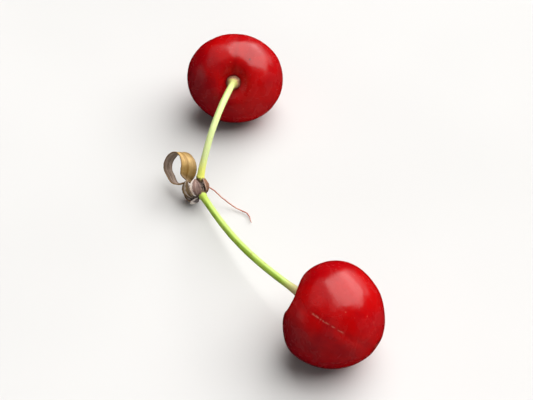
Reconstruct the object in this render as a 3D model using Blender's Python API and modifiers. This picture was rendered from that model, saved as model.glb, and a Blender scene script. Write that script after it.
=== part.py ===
"""Two sweet cherries that grew on one spur, as picked and lying on a table.

Metres, +Z up, and the front of the pair faces -Y. It rests on three things: both fruits and the broken end of
the spur. The origin is on the table, under the middle of the pair's box. Each fruit, stalk, bud scale, the
curled bract and a dry thread is a solid of its own, a hair's breadth from what it grew on.
"""

import math

import bmesh
import bpy
from mathutils import Matrix, Vector

MM = 0.001
GAP = 0.3 * MM  # what is left between two pieces that touch

# The fruits: width from cheek to cheek, and how far the shoulders and the tip are from the widest ring
BACK_FRUIT_WIDTH = 24.0 * MM
BACK_SHOULDER = 9.9 * MM
BACK_TIP = 11.2 * MM
BACK_CAVITY_DEPTH = 2.7 * MM
BACK_CAVITY_ACROSS = 3.2 * MM  # the cavity's reach towards the cheeks
BACK_CAVITY_ALONG = 4.0 * MM  # and towards the suture and the back
FRONT_FRUIT_WIDTH = 23.0 * MM
FRONT_SHOULDER = 10.4 * MM
FRONT_TIP = 11.9 * MM
FRONT_CAVITY_DEPTH = 4.2 * MM
FRONT_CAVITY_ACROSS = 3.3 * MM
FRONT_CAVITY_ALONG = 5.2 * MM
SUTURE_FLATNESS = 0.93  # thickness from suture to back, as a share of the width
SHOULDER_SWELL = 0.06  # how much fuller the stalk half is than the tip half
TIP_DIMPLE_DEPTH = 0.4 * MM
TIP_DIMPLE_REACH = 1.3 * MM
FRUIT_RINGS = 26
FRUIT_SEGMENTS = 40
BACK_FRUIT = (
    BACK_FRUIT_WIDTH,
    BACK_SHOULDER,
    BACK_TIP,
    BACK_CAVITY_DEPTH,
    BACK_CAVITY_ACROSS,
    BACK_CAVITY_ALONG,
)
FRONT_FRUIT = (
    FRONT_FRUIT_WIDTH,
    FRONT_SHOULDER,
    FRONT_TIP,
    FRONT_CAVITY_DEPTH,
    FRONT_CAVITY_ACROSS,
    FRONT_CAVITY_ALONG,
)

# How each fruit lies: where its stalk end points, and how far its cavity is from the spur over the table
BACK_AXIS_TURN = -93.0
BACK_AXIS_RISE = 31.0
BACK_SUTURE_SIDE = (0.1, 0.5, 0.8)
BACK_REACH = 27.5 * MM
BACK_BEARING = 73.5
FRONT_AXIS_TURN = 145.0
FRONT_AXIS_RISE = 12.0
FRONT_SUTURE_SIDE = (-0.25, -0.85, 0.45)
FRONT_REACH = 46.0 * MM
FRONT_BEARING = -59.5

# The stalks
STALK_RADIUS = 0.78 * MM
STALK_BUTTON_RADIUS = 1.7 * MM  # the flared end that holds the fruit
STALK_BUTTON_LENGTH = 1.9 * MM
STALK_FOOT_RADIUS = 1.02 * MM  # where it leaves the spur
STALK_FOOT_LENGTH = 6.0 * MM
STALK_POINTS = 34
BACK_FOOT_TURN = 70.0
BACK_FOOT_RISE = 58.0
BACK_FOOT_PULL = 14.0 * MM  # how far it runs on in its first direction before it bends away
BACK_BUTTON_PULL = 13.0 * MM
FRONT_FOOT_TURN = -66.0
FRONT_FOOT_RISE = 7.0
FRONT_FOOT_PULL = 16.0 * MM
FRONT_BUTTON_PULL = 15.0 * MM

# The spur, a stub of knotted wood with a domed tip
SPUR_RADIUS = 2.3 * MM
SPUR_BODY_LENGTH = 4.0 * MM
SPUR_NECK = 0.86  # radius at the broken end, as a share of the spur's
SPUR_HOLLOW_RADIUS = 1.1 * MM
SPUR_HOLLOW_FLOOR_RADIUS = 0.8 * MM
SPUR_HOLLOW_DEPTH = 0.7 * MM
SPUR_RING_DEPTH = 0.14 * MM
SPUR_RINGS = 3
SPUR_TURN = -33.0
SPUR_RISE = 53.0
SPUR_SEGMENTS = 28
SPUR_DOME_STEPS = 8
STEPS_PER_RING = 4

# The face of the spur that looks forward and up. Places on the dome are given as right, up it, and out of it.
FACE_TILT = 45.0

# Bud scales, as (name, middle, half length, half width, turn, lift of the free end), angles in degrees
SCALE_THICKNESS = 0.35 * MM
BUD_SCALES = (
    ("front_bud_scale", (-0.34, 0.06, 0.94), 42.0, 20.0, 8.0, 0.5 * MM),
    ("left_bud_scale", (-0.93, -0.16, 0.33), 38.0, 21.0, -6.0, 0.6 * MM),
    ("right_bud_scale", (0.83, 0.36, 0.42), 32.0, 10.0, 24.0, 0.5 * MM),
    ("lower_bud_scale", (-0.24, -0.90, 0.10), 24.0, 15.0, 80.0, 0.3 * MM),
    ("back_bud_scale", (0.45, 0.45, -0.75), 34.0, 24.0, 12.0, 0.5 * MM),
)
SCALE_TIP_WIDTH = 0.06  # width at both ends, as a share of the widest
SCALE_CELLS_LONG = 12
SCALE_CELLS_WIDE = 6

# The dry bract that has curled into a loop
BRACT_FOOT = (-0.72, 0.64, 0.26)
BRACT_FOOT_LIFT = 0.6 * MM
BRACT_FACING = 38.0  # how far the loop's axis turns from straight out towards the left
BRACT_RADIUS_AT_FOOT = 4.0 * MM
BRACT_RADIUS_AT_TIP = 3.2 * MM
BRACT_START = -44.0
BRACT_SWEEP = 292.0
BRACT_FOOT_WIDTH = 1.6 * MM
BRACT_WIDTH = 3.6 * MM
BRACT_TIP_WIDTH = 1.9 * MM
BRACT_WIDEST_AT = 0.3  # share of its length
BRACT_THICKNESS = 0.35 * MM
BRACT_CELLS_LONG = 44
BRACT_CELLS_WIDE = 4

# A dry thread that trails from the spur, as offsets from the middle of the dome and heights over the table
THREAD_RADIUS = 0.16 * MM
THREAD_POINTS = 24
THREAD_ROUTE = (
    (3.6 * MM, -0.6 * MM, 4.7 * MM),
    (5.0 * MM, -1.2 * MM, 3.5 * MM),
    (7.0 * MM, -1.7 * MM, 1.7 * MM),
    (9.2 * MM, -2.9 * MM, 0.8 * MM),
    (11.6 * MM, -4.4 * MM, 0.6 * MM),
    (12.5 * MM, -7.2 * MM, 0.6 * MM),
)

# Colours are linear red, green and blue
SKIN_COLOUR = (0.42, 0.004, 0.012)
STALK_COLOUR = (0.38, 0.52, 0.06)
SPUR_COLOUR = (0.10, 0.075, 0.06)
SCALE_COLOUR = (0.28, 0.19, 0.15)
BRACT_COLOUR = (0.50, 0.30, 0.08)
THREAD_COLOUR = (0.50, 0.20, 0.15)


def clear_scene():
    for old in list(bpy.data.objects):
        bpy.data.objects.remove(old, do_unlink=True)


def new_collection(name):
    collection = bpy.data.collections.new(name)
    bpy.context.scene.collection.children.link(collection)
    return collection


def finish_material(name, colour, roughness):
    material = bpy.data.materials.new(name)
    material.use_nodes = True
    shader = material.node_tree.nodes["Principled BSDF"]
    shader.inputs["Base Color"].default_value = (*colour, 1.0)
    shader.inputs["Roughness"].default_value = roughness
    shader.inputs["Metallic"].default_value = 0.0
    return material


def add_part(name, data, material):
    data.materials.append(material)
    part = bpy.data.objects.new(name, data)
    bpy.data.collections["cherry_pair"].objects.link(part)
    return part


def direction(turn, rise):
    """The unit vector at this turn about Z from +X and this rise from level, both in degrees."""
    turn = math.radians(turn)
    rise = math.radians(rise)
    return Vector((math.cos(rise) * math.cos(turn), math.cos(rise) * math.sin(turn), math.sin(rise)))


def frame_along(axis, side):
    """The rotation whose Z runs along axis and whose X leans towards side."""
    z = Vector(axis).normalized()
    x = (Vector(side) - z * z.dot(Vector(side))).normalized()
    return Matrix((x, z.cross(x), z)).transposed()


def on_face(right, up, out):
    """The world vector of a place given on the face of the spur that looks forward and up."""
    tilt = math.radians(FACE_TILT)
    along = Vector((0.0, math.sin(tilt), math.cos(tilt)))
    away = Vector((0.0, -math.cos(tilt), math.sin(tilt)))
    return Vector((1.0, 0.0, 0.0)) * right + along * up + away * out


def world_points(parts):
    bpy.context.view_layer.update()
    graph = bpy.context.evaluated_depsgraph_get()
    found = []
    for part in parts:
        shape = part.evaluated_get(graph)
        mesh = shape.to_mesh()
        found += [shape.matrix_world @ vertex.co for vertex in mesh.vertices]
        shape.to_mesh_clear()
    return found


def rest_on_table(part):
    part.location.z -= min(point.z for point in world_points([part]))
    bpy.context.view_layer.update()


def turned_part(name, profile, segments, material):
    """A solid of revolution about its own Z, from (radius, height) points that run from top to bottom."""
    mesh = bpy.data.meshes.new(name)
    corners = [(radius, 0.0, height) for radius, height in profile]
    mesh.from_pydata(corners, [(i, i + 1) for i in range(len(corners) - 1)], [])
    part = add_part(name, mesh, material)
    screw = part.modifiers.new("turn", "SCREW")
    screw.axis = "Z"
    screw.steps = segments
    screw.render_steps = segments
    screw.use_merge_vertices = True
    screw.merge_threshold = 0.005 * MM
    screw.use_smooth_shade = True
    return part


def make_fruit(name, fruit, axis, suture_side, cavity_over, material):
    """Lays a fruit on the table, its cavity over cavity_over. Returns it and where the stalk ends in it."""
    width, shoulder, tip, cavity_depth, cavity_across, cavity_along = fruit
    mesh = bpy.data.meshes.new(name)
    shape = bmesh.new()
    bmesh.ops.create_uvsphere(shape, u_segments=FRUIT_SEGMENTS, v_segments=FRUIT_RINGS, radius=1.0)
    for vertex in shape.verts:
        x, y, z = vertex.co
        swell = width / 2 * (1.0 + SHOULDER_SWELL * z)
        x *= swell * SUTURE_FLATNESS
        y *= swell
        if z > 0:
            spread = math.hypot(x / cavity_along, y / cavity_across)
            vertex.co = (x, y, z * shoulder - cavity_depth * math.exp(-(spread**3)))
        else:
            spread = math.hypot(x, y) / TIP_DIMPLE_REACH
            vertex.co = (x, y, z * tip + TIP_DIMPLE_DEPTH * math.exp(-(spread**2)))
    shape.to_mesh(mesh)
    shape.free()
    mesh.shade_smooth()
    part = add_part(name, mesh, material)
    part.rotation_euler = frame_along(axis, suture_side).to_euler()
    funnel = cavity_depth * (1.0 - math.exp(-((STALK_BUTTON_RADIUS / cavity_across) ** 3)))
    seat = shoulder - cavity_depth + funnel + GAP
    part.location = cavity_over - axis * seat
    rest_on_table(part)
    return part, part.location + axis * seat


def stalk_radius(from_foot, from_button):
    """Thick where it leaves the spur, slender along its length, and flared at the fruit."""
    foot = max(0.0, 1.0 - from_foot / STALK_FOOT_LENGTH) ** 2
    button = max(0.0, 1.0 - from_button / STALK_BUTTON_LENGTH) ** 2
    grown = (STALK_FOOT_RADIUS - STALK_RADIUS) * foot
    return STALK_RADIUS + grown + (STALK_BUTTON_RADIUS - STALK_RADIUS) * button


def tube_part(name, points, radii, material):
    curve = bpy.data.curves.new(name, "CURVE")
    curve.dimensions = "3D"
    curve.bevel_depth = 1.0
    curve.bevel_resolution = 2
    curve.use_fill_caps = True
    spline = curve.splines.new("POLY")
    spline.points.add(len(points) - 1)
    for place, point, radius in zip(spline.points, points, radii):
        place.co = (*point, 1.0)
        place.radius = radius
    spline.use_smooth = True
    return add_part(name, curve, material)


def make_stalk(name, dome, foot_axis, foot_pull, button, button_axis, button_pull, material):
    """A stalk from its foot on the spur to its button in the cavity, on one cubic curve."""
    foot = dome + foot_axis * (SPUR_RADIUS + GAP)
    guides = (foot, foot + foot_axis * foot_pull, button + button_axis * button_pull, button)
    points = []
    for step in range(STALK_POINTS):
        # Points crowd towards the button, where the stalk flares.
        t = math.sin(math.pi / 2 * step / (STALK_POINTS - 1)) ** 0.9
        weights = ((1 - t) ** 3, 3 * t * (1 - t) ** 2, 3 * t * t * (1 - t), t**3)
        points.append(sum((guide * weight for guide, weight in zip(guides, weights)), Vector()))
    lengths = [(b - a).length for a, b in zip(points, points[1:])]
    run = [sum(lengths[:i]) for i in range(len(points))]
    radii = [stalk_radius(done, run[-1] - done) for done in run]
    return tube_part(name, points, radii, material)


def spur_profile():
    """From the domed tip, over ringed wood, to the hollow of its broken end. Height 0 is the dome's middle."""
    profile = [(0.0, SPUR_RADIUS)]
    for step in range(1, SPUR_DOME_STEPS + 1):
        angle = math.pi / 2 * step / SPUR_DOME_STEPS
        profile.append((SPUR_RADIUS * math.sin(angle), SPUR_RADIUS * math.cos(angle)))
    steps = STEPS_PER_RING * SPUR_RINGS
    for step in range(1, steps + 1):
        share = step / steps
        narrow = 1.0 - (1.0 - SPUR_NECK) * share
        groove = SPUR_RING_DEPTH * (step % STEPS_PER_RING == STEPS_PER_RING // 2)
        profile.append((SPUR_RADIUS * narrow - groove, -SPUR_BODY_LENGTH * share))
    profile.append((SPUR_HOLLOW_RADIUS, -SPUR_BODY_LENGTH))
    profile.append((SPUR_HOLLOW_FLOOR_RADIUS, -SPUR_BODY_LENGTH + SPUR_HOLLOW_DEPTH))
    profile.append((0.0, -SPUR_BODY_LENGTH + SPUR_HOLLOW_DEPTH))
    return profile


def make_spur(material):
    part = turned_part("spur", spur_profile(), SPUR_SEGMENTS, material)
    part.rotation_euler = frame_along(direction(SPUR_TURN, SPUR_RISE), (0.0, -1.0, 0.0)).to_euler()
    rest_on_table(part)
    return part


def sheet_part(name, place, cells_long, cells_wide, thickness, material):
    """An open sheet laid out by place(along, across), both from -1 to 1, and then given its thickness."""
    mesh = bpy.data.meshes.new(name)
    shape = bmesh.new()
    bmesh.ops.create_grid(shape, x_segments=cells_long, y_segments=cells_wide, size=1.0)
    for vertex in shape.verts:
        vertex.co = place(vertex.co.x, vertex.co.y)
    shape.to_mesh(mesh)
    shape.free()
    mesh.shade_smooth()
    part = add_part(name, mesh, material)
    solid = part.modifiers.new("thickness", "SOLIDIFY")
    solid.thickness = thickness
    solid.offset = 1.0
    solid.use_even_offset = False
    return part


def spur_reach(aim):
    """How far the spur's surface is from the middle of its dome, this way."""
    lean = min(0.0, aim.dot(direction(SPUR_TURN, SPUR_RISE)))
    return SPUR_RADIUS / math.sqrt(1.0 - lean * lean)


def make_bud_scale(name, middle, half_length, half_width, turn, lift, dome, material):
    """A pointed oval that hugs the spur and lifts towards its free end."""
    out = on_face(*middle).normalized()
    frame = frame_along(out, on_face(0.0, 1.0, 0.0)) @ Matrix.Rotation(math.radians(turn), 3, "Z")

    def place(along, across):
        width = math.sqrt(1.0 - min(1.0, abs(along)) ** 2.4) * (1.0 - SCALE_TIP_WIDTH) + SCALE_TIP_WIDTH
        lean = math.radians(half_length) * along
        sway = math.radians(half_width) * across * width
        level = math.cos(sway)
        aim = frame @ Vector((math.sin(lean) * level, math.sin(sway), math.cos(lean) * level))
        return dome + aim * (spur_reach(aim) + GAP + lift * ((along + 1.0) / 2.0) ** 2)

    return sheet_part(name, place, SCALE_CELLS_LONG, SCALE_CELLS_WIDE, SCALE_THICKNESS, material)


def bract_width(share):
    """Narrow where it grew, widest a third of the way along, and tapering to its tip."""
    if share < BRACT_WIDEST_AT:
        swell = math.sin(math.pi / 2 * share / BRACT_WIDEST_AT)
        return BRACT_FOOT_WIDTH + (BRACT_WIDTH - BRACT_FOOT_WIDTH) * swell
    fade = (share - BRACT_WIDEST_AT) / (1.0 - BRACT_WIDEST_AT)
    return BRACT_WIDTH + (BRACT_TIP_WIDTH - BRACT_WIDTH) * fade**1.5


def make_bract(dome, material):
    facing = math.radians(BRACT_FACING)
    loop_right = on_face(math.cos(facing), 0.0, math.sin(facing))
    loop_up = on_face(0.0, 1.0, 0.0)
    loop_axis = on_face(-math.sin(facing), 0.0, math.cos(facing))
    foot_reach = SPUR_RADIUS + GAP + BRACT_FOOT_LIFT
    foot = dome + on_face(*BRACT_FOOT).normalized() * foot_reach
    start = math.radians(BRACT_START)
    middle = foot - (loop_right * math.cos(start) + loop_up * math.sin(start)) * BRACT_RADIUS_AT_FOOT

    def place(along, across):
        share = (along + 1.0) / 2.0
        angle = start + math.radians(BRACT_SWEEP) * share
        radius = BRACT_RADIUS_AT_FOOT + (BRACT_RADIUS_AT_TIP - BRACT_RADIUS_AT_FOOT) * share
        spoke = loop_right * math.cos(angle) + loop_up * math.sin(angle)
        return middle + spoke * radius + loop_axis * (bract_width(share) / 2 * across)

    return sheet_part("curled_bract", place, BRACT_CELLS_LONG, BRACT_CELLS_WIDE, BRACT_THICKNESS, material)


def make_thread(dome, material):
    """Follows its route on a smooth curve through every point of it."""
    route = [Vector((dome.x + right, dome.y + back, height)) for right, back, height in THREAD_ROUTE]
    ends = [route[0] * 2 - route[1], *route, route[-1] * 2 - route[-2]]
    points = []
    for step in range(THREAD_POINTS):
        place = (len(route) - 1) * step / (THREAD_POINTS - 1)
        leg = min(int(place), len(route) - 2)
        t = place - leg
        a, b, c, d = ends[leg : leg + 4]
        bend = (c - a) * t + (a * 2 - b * 5 + c * 4 - d) * t * t + (b * 3 - a - c * 3 + d) * t**3
        points.append(b + bend / 2)
    return tube_part("dry_thread", points, [THREAD_RADIUS] * THREAD_POINTS, material)


def centre_on_origin(parts):
    """Parents every part to one empty, which brings the middle of their box's base to the origin."""
    points = world_points(parts)
    middle = [(min(p[axis] for p in points) + max(p[axis] for p in points)) / 2 for axis in (0, 1)]
    anchor = bpy.data.objects.new("pair_origin", None)
    bpy.data.collections["cherry_pair"].objects.link(anchor)
    for part in parts:
        part.parent = anchor
    anchor.location = (-middle[0], -middle[1], 0.0)
    bpy.context.view_layer.update()


def build():
    clear_scene()
    new_collection("cherry_pair")
    skin = finish_material("cherry_skin", SKIN_COLOUR, 0.32)
    green = finish_material("stalk_green", STALK_COLOUR, 0.45)
    bark = finish_material("spur_bark", SPUR_COLOUR, 0.85)
    husk = finish_material("bud_scale_brown", SCALE_COLOUR, 0.75)
    gold = finish_material("dry_bract", BRACT_COLOUR, 0.6)
    thread = finish_material("dry_thread", THREAD_COLOUR, 0.6)

    spur = make_spur(bark)
    dome = spur.location.copy()

    back_axis = direction(BACK_AXIS_TURN, BACK_AXIS_RISE)
    back_over = dome + direction(BACK_BEARING, 0.0) * BACK_REACH
    back, back_button = make_fruit(
        "back_cherry", BACK_FRUIT, back_axis, BACK_SUTURE_SIDE, back_over, skin
    )
    back_way = direction(BACK_FOOT_TURN, BACK_FOOT_RISE)
    back_stalk = make_stalk(
        "back_stalk", dome, back_way, BACK_FOOT_PULL, back_button, back_axis, BACK_BUTTON_PULL, green
    )

    front_axis = direction(FRONT_AXIS_TURN, FRONT_AXIS_RISE)
    front_over = dome + direction(FRONT_BEARING, 0.0) * FRONT_REACH
    front, front_button = make_fruit(
        "front_cherry", FRONT_FRUIT, front_axis, FRONT_SUTURE_SIDE, front_over, skin
    )
    front_way = direction(FRONT_FOOT_TURN, FRONT_FOOT_RISE)
    front_stalk = make_stalk(
        "front_stalk", dome, front_way, FRONT_FOOT_PULL, front_button, front_axis, FRONT_BUTTON_PULL, green
    )

    parts = [spur, back, back_stalk, front, front_stalk]
    for bud_scale in BUD_SCALES:
        parts.append(make_bud_scale(*bud_scale, dome, husk))
    parts.append(make_bract(dome, gold))
    parts.append(make_thread(dome, thread))
    centre_on_origin(parts)


build()
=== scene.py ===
"""Two sweet cherries on one spur, as picked and lying on a pale table.

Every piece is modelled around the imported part: the fruits, the stalks, the knotted spur with its dry bud
scales, the curled bract and the trailing thread. Sizes are in metres and angles in degrees. Colours are
linear red, green and blue.
"""

import bisect
import math
from collections import namedtuple
from types import SimpleNamespace

import bpy
from mathutils import Matrix, Vector, noise

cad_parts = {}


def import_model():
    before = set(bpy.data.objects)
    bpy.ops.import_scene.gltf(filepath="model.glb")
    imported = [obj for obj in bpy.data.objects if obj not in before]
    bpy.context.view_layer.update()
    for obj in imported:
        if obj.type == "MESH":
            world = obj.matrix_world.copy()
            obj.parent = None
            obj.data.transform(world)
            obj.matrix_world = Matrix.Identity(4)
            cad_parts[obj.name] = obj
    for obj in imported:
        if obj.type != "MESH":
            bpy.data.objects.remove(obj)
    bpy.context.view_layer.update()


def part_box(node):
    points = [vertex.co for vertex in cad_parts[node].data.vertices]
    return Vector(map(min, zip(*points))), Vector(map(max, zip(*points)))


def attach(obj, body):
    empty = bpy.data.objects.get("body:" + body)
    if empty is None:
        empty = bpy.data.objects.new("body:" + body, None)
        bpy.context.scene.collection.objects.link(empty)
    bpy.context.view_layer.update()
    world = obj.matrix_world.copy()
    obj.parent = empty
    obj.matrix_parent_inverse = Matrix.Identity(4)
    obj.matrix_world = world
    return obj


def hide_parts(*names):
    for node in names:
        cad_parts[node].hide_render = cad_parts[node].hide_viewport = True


MM = 0.001
GAP = 0.3 * MM  # what is left between two pieces that touch

# The two cherries. Each fruit has a cavity that holds its stalk, a saddle where its shoulders dip between its
# cheeks, and cheeks that slope off away from the cavity. An axis and a stalk's foot are a turn and a rise.
BACK_CHERRY = SimpleNamespace(
    node="back_cherry",
    width=24.0 * MM,
    shoulder=9.9 * MM,
    tip=11.2 * MM,
    cavity_depth=2.7 * MM,
    cavity_across=3.2 * MM,
    cavity_along=4.0 * MM,
    saddle_depth=0.5 * MM,
    cheek_slopes=(0.0, 0.0),
    axis=(-93.0, 31.0),
    suture_side=(0.1, 0.5, 0.8),
    suture_turn=0.0,
    suture_depth=0.03 * MM,
    corked_from=-6.0 * MM,
    corked_to=-1.0 * MM,
    cork_amount=0.3,
    # painted shade: the side of this fruit that is painted darker, and by how much
    painted_shade_side=(-0.55, -0.45, -0.35),
    painted_shade_amount=0.7,
    seed=0.0,
    stalk_node="back_stalk",
    stalk_foot=(70.0, 58.0),
    stalk_pulls=(14.0 * MM, 13.0 * MM),
    stalk_seed=0.0,
    stalk_fresh=(0.62, 0.80, 0.24),
    stalk_sunny=(0.76, 0.90, 0.38),
    # painted light: the pale green painted on the lit flank and towards the foot, and how much of it on each
    stalk_painted_light=(0.82, 0.95, 0.44),
    painted_light_flank=0.30,
    painted_light_foot=0.75,
    foot_tint=(0.93, 0.93, 0.13),
    button_tint=(0.50, 0.50, 0.14),
)
FRONT_CHERRY = SimpleNamespace(
    node="front_cherry",
    width=23.0 * MM,
    shoulder=10.4 * MM,
    tip=11.9 * MM,
    cavity_depth=4.2 * MM,
    cavity_across=3.3 * MM,
    cavity_along=5.2 * MM,
    saddle_depth=1.6 * MM,
    cheek_slopes=(2.3 * MM, 0.7 * MM),
    axis=(145.0, 12.0),
    suture_side=(-0.25, -0.85, 0.45),
    suture_turn=15.0,
    suture_depth=0.05 * MM,
    corked_from=-6.6 * MM,
    corked_to=2.0 * MM,
    cork_amount=0.5,
    # painted shade: the side of this fruit that is painted darker, and by how much
    painted_shade_side=(-0.45, -0.60, -0.55),
    painted_shade_amount=0.75,
    seed=3.0,
    stalk_node="front_stalk",
    stalk_foot=(-66.0, 7.0),
    stalk_pulls=(16.0 * MM, 15.0 * MM),
    stalk_seed=2.0,
    stalk_fresh=(0.30, 0.50, 0.03),
    stalk_sunny=(0.50, 0.70, 0.12),
    # painted light: the pale green painted on the lit flank and towards the foot, and how much of it on each
    stalk_painted_light=(0.66, 0.84, 0.26),
    painted_light_flank=0.72,
    painted_light_foot=0.0,
    foot_tint=(0.45, 0.58, 0.08),
    button_tint=(0.62, 0.50, 0.26),
)

# What both fruits share
SUTURE_FLATNESS = 0.93
SHOULDER_SWELL = 0.06
SADDLE_ACROSS = 5.2 * MM
SADDLE_ALONG = 9.5 * MM
SADDLE_FADE = 0.45  # share of the stalk half over which the saddle fades in
TIP_DIMPLE_DEPTH = 0.4 * MM
TIP_DIMPLE_REACH = 1.3 * MM
SUTURE_GROOVE_REACH = 0.9 * MM
FRUIT_UNEVENNESS = 0.13 * MM
FRUIT_LUMP_SIZE = 7.5 * MM
FRUIT_CALM = (1.5 * MM, 5.0 * MM)  # the skin is even round its axis, and uneven past this
FRUIT_SEGMENTS = 192
FRUIT_RINGS = 128

# What both stalks share. The heights of their ridges and lobes are shares of the radius.
STALK_RADIUS = 0.78 * MM
STALK_BUTTON_RADIUS = 1.7 * MM
STALK_BUTTON_LENGTH = 1.9 * MM
STALK_FLARE_LENGTH = 2.6 * STALK_BUTTON_LENGTH
STALK_CUP_SHARE = 0.62  # how much of the flare belongs to the button itself
STALK_FOOT_RADIUS = 0.93 * MM
STALK_FOOT_LENGTH = 6.0 * MM
STALK_COLLAR = 0.10 * MM
STALK_COLLAR_AT = 0.45 * MM
STALK_COLLAR_REACH = 0.3 * MM
STALK_ROOT = 0.6 * MM  # how far each end runs on into what it grew from
STALK_RIDGES = 5.0
STALK_RIDGE_HEIGHT = 0.022
STALK_RIDGE_TWIST = 90.0  # radians to the metre
STALK_SWELLS = 0.045
STALK_SWELL_LENGTH = 5.0 * MM
STALK_LOBE_HEIGHT = 0.02
STALK_TORN_RIM = 0.07
STALK_KNOBS = 3.0
STALK_KNOB_HEIGHT = 0.06
STALK_KNOB_REACH = 0.6 * MM
STALK_SIDES = 28
STALK_STATIONS = 96
STALK_CROWDING = 0.13  # how much the stations crowd towards the ends, where the stalk swells
PAINTED_LIGHT_WAY = Vector((0.75, 0.35, 0.56))  # painted light: the stalks are painted paler on the side that faces this way

# The spur. What roughens its bark is given as a height and a size.
SPUR_RADIUS = 2.3 * MM
SPUR_BODY_LENGTH = 4.0 * MM
SPUR_NECK = 0.86
SPUR_RIM = 0.2 * MM
SPUR_HOLLOW_RADIUS = 1.1 * MM
SPUR_HOLLOW_DEPTH = 0.7 * MM
SPUR_LIP = 0.1 * MM
SPUR_RINGS = 3
SPUR_RING_DEPTH = 0.2 * MM
SPUR_AXIS = (-33.0, 53.0)
SPUR_CRACKLE = (0.12 * MM, 0.9 * MM)
SPUR_KNOTS = (0.10 * MM, 1.6 * MM)
SPUR_GRAIN = (0.05 * MM, 0.4 * MM)
SPUR_TEAR = (0.12 * MM, 0.35 * MM)
SPUR_SINK = 0.1 * MM  # how far the bark as a whole lies under the plain round shape
SPUR_DRAW = 0.45  # width of its bark plates, as a share of their length
SPUR_SIDES = 88
SPUR_BODY_STEPS = 36
SPUR_DOME_STEPS = 26
FACE_TILT = 45.0

Scale = namedtuple("Scale", "node middle half_length half_width turn lift rib curl finish")
BUD_SCALES = (
    Scale("front_bud_scale", (-0.2, 0.06, 0.94), 44.0, 30.0, 8.0, 0.5 * MM, 0.05 * MM, 0.16 * MM, "silvered"),
    Scale("left_bud_scale", (-0.84, -0.14, 0.52), 44.0, 32.0, -6.0, 1.2 * MM, 0.55 * MM, 0.5 * MM, "olive"),
    Scale("right_bud_scale", (0.74, 0.30, 0.55), 36.0, 17.0, 20.0, 0.5 * MM, 0.10 * MM, 0.1 * MM, "tan"),
    Scale("lower_bud_scale", (-0.24, -0.9, 0.1), 26.0, 16.0, 80.0, 0.3 * MM, 0.1 * MM, 0.12 * MM, "pewter"),
    Scale("back_bud_scale", (0.45, 0.45, -0.75), 34.0, 24.0, 12.0, 0.5 * MM, 0.15 * MM, 0.1 * MM, "olive"),
)
SCALE_THICKNESS = 0.17 * MM
SCALE_TIP_WIDTH = 0.06
SCALE_RAGGEDNESS = 0.16  # share of the width that its rim may lose
SCALE_RIB_AT = 0.1  # places and widths across it are shares of its half width
SCALE_RIB_WIDTH = 0.16
SCALE_FIBRE_HEIGHT = 0.035 * MM
SCALE_CELLS = (56, 28)

# The curled bract
BRACT_FOOT = (-0.72, 0.64, 0.26)
BRACT_FOOT_LIFT = 0.6 * MM
BRACT_FACING = 38.0
BRACT_RADIUS_AT_FOOT = 4.0 * MM
BRACT_RADIUS_AT_TIP = 3.5 * MM
BRACT_START = -44.0
BRACT_SWEEP = 340.0
BRACT_FOOT_WIDTH = 2.9 * MM
BRACT_WIDTH = 3.6 * MM
BRACT_TIP_WIDTH = 1.9 * MM
BRACT_WIDEST_AT = 0.24
BRACT_ROUNDED_FROM = 0.9  # share of its length where the tip starts to round off
BRACT_BLUNTNESS = 0.25  # share of the width that is left at the very tip
BRACT_THICKNESS = 0.2 * MM
BRACT_NECK = 0.09  # share of its length that runs from the spur to the loop
BRACT_NECK_WIDTH = 0.35  # share of the width where it leaves the spur
BRACT_FLAT = 0.6 * MM  # how far it straightens on the lower left of the loop
BRACT_FLAT_AT = 212.0
BRACT_LEAN = 2.3 * MM  # how far its front rim leans into the loop on the right
BRACT_RAGGEDNESS = 0.07
BRACT_VEINS = 26.0  # radians of veins from its middle to its rim
BRACT_VEIN_HEIGHT = 0.03 * MM
BRACT_MIDRIB_HEIGHT = 0.10 * MM
BRACT_MIDRIB_WIDTH = 0.10
BRACT_WAVE = 0.12 * MM
BRACT_TROUGH = 0.22 * MM
BRACT_CELLS = (180, 26)

# The thread, as offsets from the middle of the dome and heights over the table
THREAD_RADIUS = 0.16 * MM
THREAD_ROOT = (1.9 * MM, 0.3 * MM, 0.9 * MM)
THREAD_ROUTE = (
    (3.6 * MM, -0.6 * MM, 4.7 * MM),
    (5.0 * MM, -1.2 * MM, 3.5 * MM),
    (7.0 * MM, -1.7 * MM, 1.7 * MM),
    (9.2 * MM, -2.9 * MM, 0.8 * MM),
    (11.6 * MM, -4.4 * MM, 0.6 * MM),
    (12.5 * MM, -7.2 * MM, 0.6 * MM),
)
THREAD_THINNING = 0.45
THREAD_KINK = 0.07 * MM
THREAD_KNOTS = 0.25
THREAD_STATIONS = 90
THREAD_SIDES = 10

# The stage
TABLE_SIZE = 6.0
SoftBox = namedtuple("SoftBox", "name way distance width height brightness colour in_diffuse in_gloss")
SOFT_BOXES = (
    SoftBox("overhead_soft_box", (0.40, 0.22, 0.89), 3.0, 4.3, 3.8, 4.1, (1.0, 0.985, 0.96), True, True),
    SoftBox("left_soft_box", (-0.92, -0.20, 0.26), 4.0, 2.2, 1.5, 0.5, (1.0, 0.94, 0.90), True, True),
    SoftBox("right_soft_box", (0.64, 0.60, 0.48), 4.0, 3.8, 2.4, 1.3, (1.0, 0.96, 0.96), True, True),
    SoftBox("sheen_soft_box", (-0.42, 0.12, 0.90), 3.0, 3.4, 2.6, 0.55, (1.0, 0.97, 0.97), False, True),
    SoftBox("fill_light", (-0.10, -0.75, 0.65), 4.0, 5.3, 5.3, 0.36, (1.0, 1.0, 1.0), True, False),
)
BACKDROP_COLOUR = (0.97, 0.98, 1.0, 1.0)
BACKDROP_STRENGTH = 0.9
VIEW_AIM = (0.0, -2.0 * MM, 8.0 * MM)
VIEW_RISE = 45.0
VIEW_DISTANCE = 285.0 * MM
VIEW_LENS = 84.0

GROWN = "grown"  # the attribute that keeps a piece's shape from before it was bent and placed


# -------- geometry


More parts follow.
